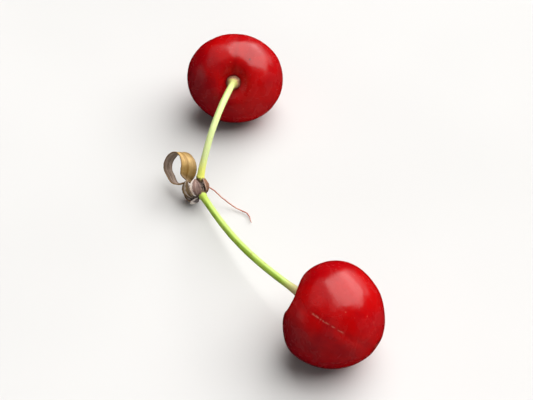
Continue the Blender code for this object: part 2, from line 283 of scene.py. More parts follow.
def direction(turn, rise):
    turn = math.radians(turn)
    rise = math.radians(rise)
    return Vector((math.cos(rise) * math.cos(turn), math.cos(rise) * math.sin(turn), math.sin(rise)))


def frame_along(axis, side):
    """The rotation whose Z runs along axis and whose X leans towards side."""
    z = Vector(axis).normalized()
    x = (Vector(side) - z * z.dot(Vector(side))).normalized()
    return Matrix((x, z.cross(x), z)).transposed()


def on_face(right, up, out):
    """The world vector of a place given on the face of the spur that looks forward and up."""
    tilt = math.radians(FACE_TILT)
    along = Vector((0.0, math.sin(tilt), math.cos(tilt)))
    away = Vector((0.0, -math.cos(tilt), math.sin(tilt)))
    return Vector((1.0, 0.0, 0.0)) * right + along * up + away * out


def smooth_step(low, high, value):
    share = min(1.0, max(0.0, (value - low) / (high - low)))
    return share * share * (3.0 - 2.0 * share)


def bell(value, reach):
    """Falls from 1 at nothing, to about a third at the reach, to none."""
    return math.exp(-((value / reach) ** 2))


def fade(value, reach):
    """Falls from 1 at nothing to none at the reach, fast at first."""
    return max(0.0, 1.0 - value / reach) ** 2


def ripple(place, size, octaves=3):
    """Smooth unevenness from about -1 to 1, with bumps of this size."""
    return noise.fractal(place / size, 0.6, 2.0, octaves, noise_basis="PERLIN_ORIGINAL")


# -------- working on a piece


def deselect_all():
    bpy.ops.object.select_all(action="DESELECT")


def take(piece):
    deselect_all()
    piece.select_set(True)
    bpy.context.view_layer.objects.active = piece
    return piece


def new_piece(name):
    piece = take(bpy.context.object)
    piece.name = name
    piece.data.name = name
    return piece


def reshape(piece, rule):
    """Moves every vertex of the piece to where the rule says."""
    for vertex in piece.data.vertices:
        vertex.co = rule(vertex.co.copy())
    piece.data.update()


def keep_grown_shape(piece, rule=Vector):
    """Notes each vertex's place, or what the rule makes of it, for finishes that follow the bent piece."""
    grown = piece.data.attributes.new(GROWN, "FLOAT_VECTOR", "POINT")
    for mark, vertex in zip(grown.data, piece.data.vertices):
        mark.vector = rule(vertex.co)


def put(piece, turn, place):
    """Turns the piece, moves it to its place and applies both, so its object sits at the origin."""
    take(piece)
    piece.rotation_mode = "QUATERNION"
    piece.rotation_quaternion = turn.to_quaternion()
    piece.location = place
    bpy.ops.object.transform_apply(location=True, rotation=True, scale=True)


def thicken(piece, thickness, inner_slot=0):
    take(piece)
    wall = piece.modifiers.new("thickness", "SOLIDIFY")
    wall.thickness = thickness
    wall.offset = 1.0
    wall.use_even_offset = False
    wall.material_offset = inner_slot
    wall.material_offset_rim = 0
    bpy.ops.object.modifier_apply(modifier=wall.name)


def shade_smooth(piece):
    take(piece)
    bpy.ops.object.shade_smooth()


def hand_over(piece, node, slot, *finishes):
    """Gives the piece its finishes and puts it in place of its node."""
    for finish in finishes:
        piece.data.materials.append(finish)
    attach(piece, "root")
    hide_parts(node)


def turned_piece(name, profile, sides):
    """Raises a round face through (radius, height) stations, as a rod is drawn out, and closes it."""
    radius, height = profile[0]
    deselect_all()
    bpy.ops.mesh.primitive_circle_add(
        vertices=sides, radius=radius, fill_type="NGON", location=(0.0, 0.0, height)
    )
    piece = new_piece(name)
    bpy.ops.object.transform_apply(location=True, rotation=True, scale=True)
    bpy.ops.object.mode_set(mode="EDIT")
    bpy.ops.mesh.select_all(action="SELECT")
    for next_radius, next_height in profile[1:]:
        bpy.ops.mesh.extrude_region_move(
            TRANSFORM_OT_translate={"value": (0.0, 0.0, next_height - height)}
        )
        grow = next_radius / radius
        bpy.ops.transform.resize(value=(grow, grow, 1.0), center_override=(0.0, 0.0, next_height))
        radius = next_radius
        height = next_height
    bpy.ops.mesh.poke()
    bpy.ops.mesh.select_all(action="SELECT")
    bpy.ops.mesh.normals_make_consistent(inside=False)
    bpy.ops.object.mode_set(mode="OBJECT")
    return piece


# -------- paths


def bezier_path(guides, steps=240):
    points = []
    for step in range(steps + 1):
        share = step / steps
        rest = 1.0 - share
        weights = (rest**3, 3 * share * rest**2, 3 * share * share * rest, share**3)
        points.append(sum((guide * weight for guide, weight in zip(guides, weights)), Vector()))
    return points


def spline_path(route, steps=200):
    """A smooth curve through every point of the route."""
    ends = [route[0] * 2 - route[1], *route, route[-1] * 2 - route[-2]]
    points = []
    for step in range(steps + 1):
        place = (len(route) - 1) * step / steps
        leg = min(int(place), len(route) - 2)
        share = place - leg
        before, here, ahead, beyond = ends[leg : leg + 4]
        bend = (ahead - before) * share
        bend += (before * 2 - here * 5 + ahead * 4 - beyond) * share**2
        bend += (here * 3 - before - ahead * 3 + beyond) * share**3
        points.append(here + bend / 2)
    return points


def path_length(points):
    return sum((there - here).length for here, there in zip(points, points[1:]))


def path_frames(points):
    """Which way the path runs at each point, and a sideways arrow that it carries along untwisted."""
    aims = [(points[1] - points[0]).normalized()]
    for before, after in zip(points, points[2:]):
        aims.append((after - before).normalized())
    aims.append((points[-1] - points[-2]).normalized())
    side = aims[0].orthogonal().normalized()
    sides = []
    for aim in aims:
        side = (side - aim * side.dot(aim)).normalized()
        sides.append(side)
    return aims, sides


def bend_along(piece, points):
    """Bends a piece that was drawn out along Z so that it follows the path."""
    runs = [0.0]
    for here, there in zip(points, points[1:]):
        runs.append(runs[-1] + (there - here).length)
    aims, sides = path_frames(points)

    def rule(place):
        run = min(runs[-1], max(0.0, place.z))
        leg = min(bisect.bisect_right(runs, run), len(runs) - 1) - 1
        share = (run - runs[leg]) / (runs[leg + 1] - runs[leg])
        aim = aims[leg].lerp(aims[leg + 1], share).normalized()
        x = sides[leg].lerp(sides[leg + 1], share).normalized()
        y = aim.cross(x)
        here = points[leg].lerp(points[leg + 1], share)
        return here + x * place.x + y * place.y + aim * (place.z - run)

    reshape(piece, rule)


# -------- fruits


def seat_of(cherry):
    """How far from the middle of the fruit, along its axis, its stalk ends."""
    rise = cherry.cavity_depth * (1.0 - math.exp(-((STALK_BUTTON_RADIUS / cherry.cavity_across) ** 3)))
    return cherry.shoulder - cherry.cavity_depth + rise + GAP


def shoulder_level(cherry, x, y, z):
    """How high the skin of the stalk half is, with its cavity, its saddle and its sloping cheeks."""
    spread = math.hypot(x / cherry.cavity_along, y / cherry.cavity_across)
    cavity = (cherry.cavity_depth - cherry.saddle_depth) * math.exp(-(spread**3))
    saddle = cherry.saddle_depth * bell(y, SADDLE_ACROSS) * math.exp(-((x / SADDLE_ALONG) ** 4))
    slope = cherry.cheek_slopes[0] if y < 0.0 else cherry.cheek_slopes[1]
    fall = slope * smooth_step(0.0, 1.0, abs(y) / (cherry.width / 2)) * z
    return z * cherry.shoulder - cavity - saddle * smooth_step(0.0, SADDLE_FADE, z) - fall


def make_fruit(cherry, axis):
    """A fruit from a round ball: oval, full at the shoulders, with its cavity, saddle, dimple and suture."""
    suture_turn = Matrix.Rotation(-math.radians(cherry.suture_turn), 2)
    deselect_all()
    bpy.ops.mesh.primitive_uv_sphere_add(segments=FRUIT_SEGMENTS, ring_count=FRUIT_RINGS, radius=1.0)
    piece = new_piece(cherry.node + "_fruit")

    def rule(place):
        swell = cherry.width / 2 * (1.0 + SHOULDER_SWELL * place.z)
        x = place.x * swell * SUTURE_FLATNESS
        y = place.y * swell
        from_axis = math.hypot(x, y)
        if place.z > 0.0:
            level = shoulder_level(cherry, x, y, place.z)
        else:
            level = place.z * cherry.tip + TIP_DIMPLE_DEPTH * bell(from_axis, TIP_DIMPLE_REACH)
        point = Vector((x, y, level))
        lumps = FRUIT_UNEVENNESS * (ripple(point + Vector((cherry.seed, 0.0, 0.0)), FRUIT_LUMP_SIZE, 2) - 0.5)
        ahead, beside = suture_turn @ point.xy
        groove = cherry.suture_depth * bell(beside, SUTURE_GROOVE_REACH) if ahead > 0.0 else 0.0
        return point + place * (lumps - groove) * smooth_step(*FRUIT_CALM, from_axis)

    reshape(piece, rule)
    keep_grown_shape(piece)
    put(piece, frame_along(axis, cherry.suture_side), Vector())
    # It is set by its lowest point and its tip, which the saddle and the slopes leave alone.
    low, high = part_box(cherry.node)
    corners = [vertex.co for vertex in piece.data.vertices]
    centre = low - Vector([min(values) for values in zip(*corners)])
    for way in (0, 1):
        if axis[way] < 0.0:
            centre[way] = high[way] - max(corner[way] for corner in corners)
    put(piece, Matrix.Identity(3), centre)
    shade_smooth(piece)
    return piece, centre


# -------- stalks


def stalk_radius(from_foot, from_button):
    """Thick at its foot, with a low collar, and flared in two steps towards its button."""
    from_foot = max(0.0, from_foot - STALK_ROOT)
    from_button = max(0.0, from_button - STALK_ROOT)
    foot = (STALK_FOOT_RADIUS - STALK_RADIUS) * fade(from_foot, STALK_FOOT_LENGTH)
    collar = STALK_COLLAR * bell(from_foot - STALK_COLLAR_AT, STALK_COLLAR_REACH)
    flare = STALK_CUP_SHARE * fade(from_button, STALK_BUTTON_LENGTH)
    flare += (1.0 - STALK_CUP_SHARE) * fade(from_button, STALK_FLARE_LENGTH)
    return STALK_RADIUS + foot + collar + (STALK_BUTTON_RADIUS - STALK_RADIUS) * flare


def make_stalk(cherry, dome, button, axis):
    """A rod drawn out and bent from the spur to the fruit. Its length and the way of its painted light come
    with it.
    """
    foot_way = direction(*cherry.stalk_foot)
    foot = dome + foot_way * (SPUR_RADIUS + GAP)
    foot_pull, button_pull = cherry.stalk_pulls
    guides = (foot, foot + foot_way * foot_pull, button + axis * button_pull, button)
    path = [foot - foot_way * STALK_ROOT, *bezier_path(guides), button - axis * STALK_ROOT]
    length = path_length(path)
    profile = []
    for station in range(STALK_STATIONS + 1):
        share = station / STALK_STATIONS
        height = length * (share - math.sin(2.0 * math.pi * share) * STALK_CROWDING)
        profile.append((stalk_radius(height, length - height), height))
    piece = turned_piece(cherry.node + "_stalk", profile, STALK_SIDES)
    seed = cherry.stalk_seed

    def rule(place):
        angle = math.atan2(place.y, place.x)
        flare = max(0.0, 1.0 - max(0.0, length - place.z - STALK_ROOT) / STALK_BUTTON_LENGTH)
        around = Vector((math.cos(angle), math.sin(angle), place.z / STALK_SWELL_LENGTH + seed))
        rim = Vector((math.cos(angle), math.sin(angle), seed))
        grow = 1.0 + STALK_SWELLS * ripple(around, 1.0)
        grow += STALK_RIDGE_HEIGHT * math.cos(STALK_RIDGES * angle + STALK_RIDGE_TWIST * place.z + seed)
        grow += STALK_LOBE_HEIGHT * flare * math.cos(STALK_RIDGES * angle + seed)
        grow += STALK_TORN_RIM * flare * flare * ripple(rim, 0.45)
        grow += STALK_KNOB_HEIGHT * bell(place.z, STALK_KNOB_REACH) * math.cos(STALK_KNOBS * angle + seed)
        return Vector((place.x * grow, place.y * grow, place.z))

    reshape(piece, rule)
    keep_grown_shape(piece)
    aims, sides = path_frames(path)
    aim = aims[len(aims) // 2]
    side = sides[len(sides) // 2]
    # painted light: the way across the stalk from which its painted light falls
    painted_light_way = Vector((side.dot(PAINTED_LIGHT_WAY), aim.cross(side).dot(PAINTED_LIGHT_WAY), 0.0)).normalized()
    bend_along(piece, path)
    shade_smooth(piece)
    return piece, length, painted_light_way


# -------- spur


def spur_profile():
    """Stations from the floor of the hollow at the broken end, out, up the ringed bark and over the dome."""
    floor = -SPUR_BODY_LENGTH + SPUR_HOLLOW_DEPTH
    profile = [
        (SPUR_HOLLOW_RADIUS * 0.35, floor),
        (SPUR_HOLLOW_RADIUS * 0.75, floor),
        (SPUR_HOLLOW_RADIUS, -SPUR_BODY_LENGTH + SPUR_LIP),
        (SPUR_HOLLOW_RADIUS * 1.2, -SPUR_BODY_LENGTH),
        (SPUR_RADIUS * SPUR_NECK - SPUR_RIM, -SPUR_BODY_LENGTH),
    ]
    for step in range(SPUR_BODY_STEPS):
        share = step / SPUR_BODY_STEPS
        narrow = SPUR_NECK + (1.0 - SPUR_NECK) * share
        ring = math.cos(2.0 * math.pi * SPUR_RINGS * share)
        groove = SPUR_RING_DEPTH * max(0.0, -ring) ** 3
        profile.append((SPUR_RADIUS * narrow - groove, -SPUR_BODY_LENGTH * (1.0 - share)))
    for step in range(SPUR_DOME_STEPS):
        angle = math.pi / 2 * step / SPUR_DOME_STEPS
        profile.append((SPUR_RADIUS * math.cos(angle), SPUR_RADIUS * math.sin(angle)))
    return profile


def make_spur(name, dome):
    """A turned stub of wood with cracked, knotted bark and a torn hollow at its broken end."""
    piece = turned_piece(name, spur_profile(), SPUR_SIDES)
    torn_below = -SPUR_BODY_LENGTH + SPUR_HOLLOW_DEPTH * 1.2
    torn_within = SPUR_RADIUS * 0.8

    def rule(place):
        if place.z < torn_below and place.xy.length < torn_within:
            height, size = SPUR_TEAR
            return place + Vector((0.0, 0.0, abs(height * ripple(place, size))))
        out = Vector((place.x, place.y, max(0.0, place.z))).normalized()
        drawn = Vector((place.x, place.y, place.z * SPUR_DRAW))
        height, size = SPUR_CRACKLE
        rough = height * noise.noise(drawn / size, noise_basis="VORONOI_F2F1")
        height, size = SPUR_KNOTS
        rough += height * ripple(place, size)
        height, size = SPUR_GRAIN
        rough += height * ripple(drawn, size, 2)
        return place + out * (rough - SPUR_SINK)

    reshape(piece, rule)
    keep_grown_shape(piece)
    put(piece, frame_along(direction(*SPUR_AXIS), (0.0, -1.0, 0.0)), dome)
    low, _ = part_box("spur")
    reshape(piece, lambda place: Vector((place.x, place.y, max(low.z, place.z))))
    shade_smooth(piece)
    return piece


# -------- dry scales and bract


def new_sheet(name, cells):
    deselect_all()
    bpy.ops.mesh.primitive_grid_add(x_subdivisions=cells[0], y_subdivisions=cells[1], size=2.0)
    return new_piece(name)


def spur_reach(aim):
    """How far the spur's surface is from the middle of its dome, this way."""
    lean = min(0.0, aim.dot(direction(*SPUR_AXIS)))
    return SPUR_RADIUS / math.sqrt(1.0 - lean * lean)


def scale_width(along):
    """How wide a bud scale is, as a share of its widest: round at its foot and pointed at its tip."""
    if along > 0.0:
        width = (1.0 - min(1.0, along) ** 1.7) ** 0.8
    else:
        width = math.sqrt(1.0 - min(1.0, -along) ** 2.4)
    return width * (1.0 - SCALE_TIP_WIDTH) + SCALE_TIP_WIDTH


def make_bud_scale(scale, dome, seed):
    """A pointed oval that hugs the spur, ribbed along its length, with a ragged rim."""
    piece = new_sheet(scale.node + "_husk", SCALE_CELLS)
    out = on_face(*scale.middle).normalized()
    frame = frame_along(out, on_face(0.0, 1.0, 0.0)) @ Matrix.Rotation(math.radians(scale.turn), 3, "Z")
    half_length = math.radians(scale.half_length)
    half_width = math.radians(scale.half_width)
    keep_grown_shape(
        piece,
        lambda place: (place.x * half_length * SPUR_RADIUS, place.y * half_width * SPUR_RADIUS, seed * MM),
    )

    def rule(place):
        along, across = place.x, place.y
        thin = 1.0 - along * along
        bites = abs(ripple(Vector((along * 3.0, math.copysign(1.0, across), seed)), 0.5))
        lean = half_length * along
        sway = half_width * across * scale_width(along) * (1.0 - SCALE_RAGGEDNESS * bites)
        level = math.cos(sway)
        aim = frame @ Vector((math.sin(lean) * level, math.sin(sway), math.cos(lean) * level))
        reach = spur_reach(aim) + GAP * smooth_step(-1.0, 0.2, along)
        reach += scale.lift * ((along + 1.0) / 2.0) ** 2
        reach += scale.rib * bell(across - SCALE_RIB_AT, SCALE_RIB_WIDTH) * thin
        reach += scale.curl * abs(across) ** 3 * thin
        reach += SCALE_FIBRE_HEIGHT * ripple(Vector((along * 0.4, across * 6.0, seed)), 1.0)
        return dome + aim * reach

    reshape(piece, rule)
    thicken(piece, SCALE_THICKNESS)
    shade_smooth(piece)
    return piece


def bract_width(share):
    if share < BRACT_WIDEST_AT:
        swell = math.sin(math.pi / 2 * share / BRACT_WIDEST_AT)
        return BRACT_FOOT_WIDTH + (BRACT_WIDTH - BRACT_FOOT_WIDTH) * swell
    narrowing = ((share - BRACT_WIDEST_AT) / (1.0 - BRACT_WIDEST_AT)) ** 1.5
    past = min(1.0, max(0.0, (share - BRACT_ROUNDED_FROM) / (1.0 - BRACT_ROUNDED_FROM)))
    rounded = BRACT_BLUNTNESS + (1.0 - BRACT_BLUNTNESS) * math.sqrt(1.0 - past**2)
    return (BRACT_WIDTH + (BRACT_TIP_WIDTH - BRACT_WIDTH) * narrowing) * rounded


def make_bract(name, dome, outer, inner):
    """A dry leaf that has curled into a loop, with raised veins along it and a wavy rim."""
    piece = new_sheet(name, BRACT_CELLS)
    facing = math.radians(BRACT_FACING)
    loop_right = on_face(math.cos(facing), 0.0, math.sin(facing))
    loop_up = on_face(0.0, 1.0, 0.0)
    loop_axis = on_face(-math.sin(facing), 0.0, math.cos(facing))
    foot_way = on_face(*BRACT_FOOT).normalized()
    root = dome + foot_way * (SPUR_RADIUS - GAP)
    foot = dome + foot_way * (SPUR_RADIUS + GAP + BRACT_FOOT_LIFT)
    start = math.radians(BRACT_START)
    sweep = math.radians(BRACT_SWEEP)
    flat_at = math.radians(BRACT_FLAT_AT)
    middle = foot - (loop_right * math.cos(start) + loop_up * math.sin(start)) * BRACT_RADIUS_AT_FOOT
    length = sweep * (BRACT_RADIUS_AT_FOOT + BRACT_RADIUS_AT_TIP) / 2
    keep_grown_shape(
        piece, lambda place: ((place.x + 1.0) / 2.0 * length, place.y * BRACT_WIDTH / 2, 0.0)
    )

    def rule(place):
        along = (place.x + 1.0) / 2.0
        across = place.y
        share = max(0.0, (along - BRACT_NECK) / (1.0 - BRACT_NECK))
        neck = smooth_step(0.0, BRACT_NECK * 1.3, along)
        angle = start + sweep * share
        spoke = loop_right * math.cos(angle) + loop_up * math.sin(angle)
        reach = BRACT_RADIUS_AT_FOOT + (BRACT_RADIUS_AT_TIP - BRACT_RADIUS_AT_FOOT) * share
        reach -= BRACT_FLAT * bell(angle - flat_at, 0.5)
        reach += BRACT_VEIN_HEIGHT * math.cos(across * BRACT_VEINS + 0.8 * math.sin(share * 9.0))
        reach += BRACT_MIDRIB_HEIGHT * bell(across, BRACT_MIDRIB_WIDTH)
        reach += BRACT_WAVE * across**2 * ripple(Vector((share * 7.0, across * 0.5, 5.0)), 1.0)
        reach -= BRACT_TROUGH * (1.0 - across * across) * (1.0 - share)
        front_rim = (across + 1.0) / 2.0
        reach -= BRACT_LEAN * front_rim * max(0.0, math.cos(angle + 0.15)) * neck * (1.0 - share)
        bites = abs(ripple(Vector((share * 14.0, math.copysign(2.0, across), 0.0)), 1.0))
        side = loop_axis * (bract_width(share) / 2 * across * (1.0 - BRACT_RAGGEDNESS * bites))
        spread = BRACT_NECK_WIDTH + (1.0 - BRACT_NECK_WIDTH) * neck
        return root.lerp(middle + spoke * reach, neck) + side * spread

    reshape(piece, rule)
    for finish in (outer, inner):
        piece.data.materials.append(finish)
    thicken(piece, BRACT_THICKNESS, inner_slot=1)
    shade_smooth(piece)
    return piece


def make_thread(name, dome):
    """A fine dry fibre, kinked and knotted, that thins towards its end."""
    route = [Vector((dome.x + right, dome.y + back, height)) for right, back, height in THREAD_ROUTE]
    path = spline_path([dome + Vector(THREAD_ROOT), *route])
    length = path_length(path)
    profile = []
    for station in range(THREAD_STATIONS + 1):
        share = station / THREAD_STATIONS
        thin = 1.0 - THREAD_THINNING * smooth_step(0.75, 1.0, share)
        profile.append((THREAD_RADIUS * thin, length * share))
    piece = turned_piece(name, profile, THREAD_SIDES)

    def rule(place):
        kink = THREAD_KINK * ripple(Vector((place.z, 0.0, 3.0 * MM)), 1.1 * MM, 2)
        other_kink = THREAD_KINK * ripple(Vector((0.0, place.z, 7.0 * MM)), 1.3 * MM, 2)
        knot = 1.0 + THREAD_KNOTS * ripple(Vector((place.z, 0.0, 0.0)), 0.5 * MM, 2)
        return Vector((place.x * knot + kink, place.y * knot + other_kink, place.z))

    reshape(piece, rule)
    keep_grown_shape(piece)
    bend_along(piece, path)
    shade_smooth(piece)
    return piece


# -------- building finishes


def lay(tree, kind, values=None, **settings):
    """Adds a node, sets it, and gives its inputs numbers, colours or other nodes' outputs."""
    made = tree.nodes.new(kind)
    for key, value in settings.items():
        setattr(made, key, value)
    for place, value in (values or {}).items():
        if isinstance(value, bpy.types.NodeSocket):
            tree.links.new(value, made.inputs[place])
        else:
            made.inputs[place].default_value = value
    return made


def reckon(tree, operation, first, second=0.0):
    return lay(tree, "ShaderNodeMath", {0: first, 1: second}, operation=operation).outputs[0]


def times(tree, first, second):
    return reckon(tree, "MULTIPLY", first, second)


def plus(tree, first, second, share=1.0):
    """Adds the second, or a share of it, to the first."""
    values = {0: second, 1: share, 2: first}
    return lay(tree, "ShaderNodeMath", values, operation="MULTIPLY_ADD").outputs[0]


def minus(tree, first, second):
    return reckon(tree, "SUBTRACT", first, second)


def stretch(tree, place, by):
    return lay(tree, "ShaderNodeVectorMath", {0: place, 1: by}, operation="MULTIPLY").outputs[0]


def reach_along(tree, place, way):
    """How far out a place is, this way."""
    return lay(tree, "ShaderNodeVectorMath", {0: place, 1: way}, operation="DOT_PRODUCT").outputs["Value"]


def parts_of(tree, place):
    return lay(tree, "ShaderNodeSeparateXYZ", {0: place}).outputs


def lengthwise(tree, parts):
    """The place on a rod with its length first, the way that fibres run."""
    return lay(tree, "ShaderNodeCombineXYZ", {0: parts[2], 1: parts[0], 2: parts[1]}).outputs[0]


def spread_out(tree, value, low, high, to_low=0.0, to_high=1.0):
    """Fades smoothly from to_low to to_high as the value goes from low to high."""
    values = {"Value": value, "From Min": low, "From Max": high, "To Min": to_low, "To Max": to_high}
    return lay(tree, "ShaderNodeMapRange", values, interpolation_type="SMOOTHSTEP").outputs[0]


def with_alpha(colour):
    return colour if isinstance(colour, bpy.types.NodeSocket) else (*colour, 1.0)


def tint(tree, mask, under, over, amount=1.0):
    """Lays one colour over another where the mask says, by this amount at the most."""
    if amount < 1.0:
        mask = times(tree, mask, amount)
    values = {0: mask, 6: with_alpha(under), 7: with_alpha(over)}
    return lay(tree, "ShaderNodeMix", values, data_type="RGBA").outputs[2]


def cloud(tree, place, scale, detail=3.0, roughness=0.55, distortion=0.0):
    values = {
        "Vector": place,
        "Scale": scale,
        "Detail": detail,
        "Roughness": roughness,
        "Distortion": distortion,
    }
    return lay(tree, "ShaderNodeTexNoise", values).outputs["Fac"]


def wobble(tree, place, scale, size):
    """An unevenness of about this size to either side of nothing."""
    return times(tree, minus(tree, cloud(tree, place, scale, 2.0), 0.5), size)


def new_group(name, inputs, outputs):
    group = bpy.data.node_groups.new(name, "ShaderNodeTree")
    for label, kind, value in inputs:
        socket = group.interface.new_socket(name=label, in_out="INPUT", socket_type=kind)
        if value is not None:
            socket.default_value = value
    for label in outputs:
        group.interface.new_socket(name=label, in_out="OUTPUT", socket_type="NodeSocketFloat")
    return group, group.nodes.new("NodeGroupInput").outputs, group.nodes.new("NodeGroupOutput").inputs


def dots_group():
    """Round dots strewn over a surface, only a share of which show."""
    inputs = (
        ("Place", "NodeSocketVector", None),
        ("Crowding", "NodeSocketFloat", 500.0),
        ("Size", "NodeSocketFloat", 0.2),
        ("Share", "NodeSocketFloat", 0.3),
    )
    group, given, result = new_group("strewn_dots", inputs, ("Dots",))
    cells = lay(group, "ShaderNodeTexVoronoi", {"Vector": given["Place"], "Scale": given["Crowding"]})
    edge = times(group, given["Size"], 0.55)
    near = spread_out(group, cells.outputs["Distance"], given["Size"], edge)
    lot = lay(group, "ShaderNodeSeparateColor", {0: cells.outputs["Color"]}).outputs[0]
    shown = reckon(group, "LESS_THAN", lot, given["Share"])
    group.links.new(times(group, near, shown), result["Dots"])
    return group


def mottle_group():
    """Broad patches and fine grain in one, for skin that has coloured unevenly."""
    inputs = (
        ("Place", "NodeSocketVector", None),
        ("Patches", "NodeSocketFloat", 120.0),
        ("Grain", "NodeSocketFloat", 900.0),
    )
    group, given, result = new_group("mottle", inputs, ("Broad", "Fine"))
    broad = cloud(group, given["Place"], given["Patches"], 3.0, 0.5, 0.4)
    fine = cloud(group, given["Place"], given["Grain"], 5.0, 0.65, 0.2)
    group.links.new(spread_out(group, broad, 0.32, 0.68), result["Broad"])
    group.links.new(spread_out(group, fine, 0.3, 0.7), result["Fine"])
    return group


def fibres_group():
    """Lengthwise fibres: the first number of the place runs along them."""
    inputs = (
        ("Place", "NodeSocketVector", None),
        ("Fineness", "NodeSocketFloat", 3000.0),
        ("Straightness", "NodeSocketFloat", 0.08),
    )
    group, given, result = new_group("dry_fibres", inputs, ("Streaks", "Height"))
    ways = lay(group, "ShaderNodeCombineXYZ", {0: given["Straightness"], 1: 1.0, 2: 1.0}).outputs[0]
    drawn = stretch(group, given["Place"], ways)
    coarse = cloud(group, drawn, times(group, given["Fineness"], 0.4), 2.0, 0.5, 0.3)
    close = cloud(group, drawn, given["Fineness"], 3.0, 0.6, 0.2)
    both = plus(group, times(group, coarse, 0.6), close, 0.4)
    group.links.new(spread_out(group, both, 0.36, 0.64), result["Streaks"])
    group.links.new(both, result["Height"])
    return group


def use_group(tree, group, values):
    return lay(tree, "ShaderNodeGroup", values, node_tree=group).outputs


def strewn(tree, groups, place, crowding, size, share):
    values = {"Place": place, "Crowding": crowding, "Size": size, "Share": share}
    return use_group(tree, groups["dots"], values)["Dots"]


def mottled(tree, groups, place, patches, grain):
    return use_group(tree, groups["mottle"], {"Place": place, "Patches": patches, "Grain": grain})


def fibrous(tree, groups, place, fineness, straightness):
    values = {"Place": place, "Fineness": fineness, "Straightness": straightness}
    return use_group(tree, groups["fibres"], values)


def new_finish(name):
    material = bpy.data.materials.new(name)
    material.use_nodes = True
    tree = material.node_tree
    return material, tree, tree.nodes["Principled BSDF"]


def grown_place(tree):
    return lay(tree, "ShaderNodeAttribute", attribute_name=GROWN).outputs["Vector"]


def sheet_parts(tree):
    """How far along a sheet a place is, and how far across it, from 0 to 1."""
    return parts_of(tree, lay(tree, "ShaderNodeUVMap", uv_map="UVMap").outputs[0])


def wire(tree, shader, colour, roughness=None):
    tree.links.new(colour, shader.inputs["Base Color"])
    if roughness is not None:
        tree.links.new(roughness, shader.inputs["Roughness"])


def raise_skin(tree, shader, height, distance):
    bump = lay(tree, "ShaderNodeBump", {"Height": height, "Distance": distance})
    tree.links.new(bump.outputs["Normal"], shader.inputs["Normal"])


def set_shine(shader, level):
    shader.inputs["Specular IOR Level"].default_value = level


def set_glow(shader, weight, radius, scale):
    """How light spreads under the skin."""
    shader.inputs["Subsurface Weight"].default_value = weight
    shader.inputs["Subsurface Radius"].default_value = radius
    shader.inputs["Subsurface Scale"].default_value = scale


# -------- cherry skin


SKIN_BRIGHT = (0.48, 0.0004, 0.001)
# painted shade: the red painted on the side of a fruit that lies in shade
SKIN_PAINTED_SHADE_RED = (0.13, 0.0005, 0.006)
SKIN_PATCH = (0.24, 0.0005, 0.006)
SKIN_STREAK = (0.11, 0.001, 0.004)
SKIN_GRAIN = (0.50, 0.006, 0.006)
SKIN_LENTICEL = (0.80, 0.16, 0.12)
SKIN_BIG_LENTICEL = (0.85, 0.38, 0.30)
SKIN_STING = (0.05, 0.008, 0.006)
SKIN_SUTURE = (0.10, 0.001, 0.004)
SKIN_CORK = (0.60, 0.17, 0.12)
# painted shade: the dark ring in the cavity round the stalk's button
SKIN_PAINTED_CAVITY_SHADE = (0.06, 0.002, 0.004)
SKIN_TIP_HALO = (0.20, 0.006, 0.006)
SKIN_TIP_SCAR = (0.20, 0.10, 0.05)
SKIN_BLOOM = (0.62, 0.22, 0.26)


def skin_reds(tree, groups, cherry, place):
    """Uneven reds, with painted shade on one side and fine streaks from the stalk to the tip."""
    mottle = mottled(tree, groups, place, 105.0, 1100.0)
    # Painted shade: the skin is painted darker towards one given side, low down, where shade falls.
    turn = frame_along(direction(*cherry.axis), cherry.suture_side)
    painted_shade_way = turn.inverted() @ Vector(cherry.painted_shade_side).normalized()
    wander = times(tree, minus(tree, mottle["Broad"], 0.5), 4.0 * MM)
    facing = plus(tree, reach_along(tree, place, painted_shade_way), wander)
    painted_shade_mask = spread_out(tree, facing, 1.5 * MM, 11.5 * MM)
    colour = tint(tree, painted_shade_mask, SKIN_BRIGHT, SKIN_PAINTED_SHADE_RED, cherry.painted_shade_amount)
    colour = tint(tree, spread_out(tree, mottle["Broad"], 0.4, 1.0), colour, SKIN_PATCH, 0.30)
    drawn = stretch(tree, place, (1.0, 1.0, 0.16))
    streaks = spread_out(tree, cloud(tree, drawn, 1500.0, 3.0, 0.6), 0.38, 0.78)
    colour = tint(tree, streaks, colour, SKIN_STREAK, 0.14)
    return tint(tree, spread_out(tree, mottle["Fine"], 0.5, 1.0), colour, SKIN_GRAIN, 0.16)


def skin_marks(tree, groups, place, colour):
    """Lenticels, which are small and pale, and dark stings."""
    colour = tint(tree, strewn(tree, groups, place, 640.0, 0.13, 0.22), colour, SKIN_LENTICEL, 0.35)
    colour = tint(tree, strewn(tree, groups, place, 170.0, 0.05, 0.30), colour, SKIN_BIG_LENTICEL, 0.8)
    elsewhere = (31.0 * MM, 17.0 * MM, 53.0 * MM)
    moved = lay(tree, "ShaderNodeVectorMath", {0: place, 1: elsewhere}, operation="ADD").outputs[0]
    return tint(tree, strewn(tree, groups, moved, 190.0, 0.06, 0.25), colour, SKIN_STING, 0.75)


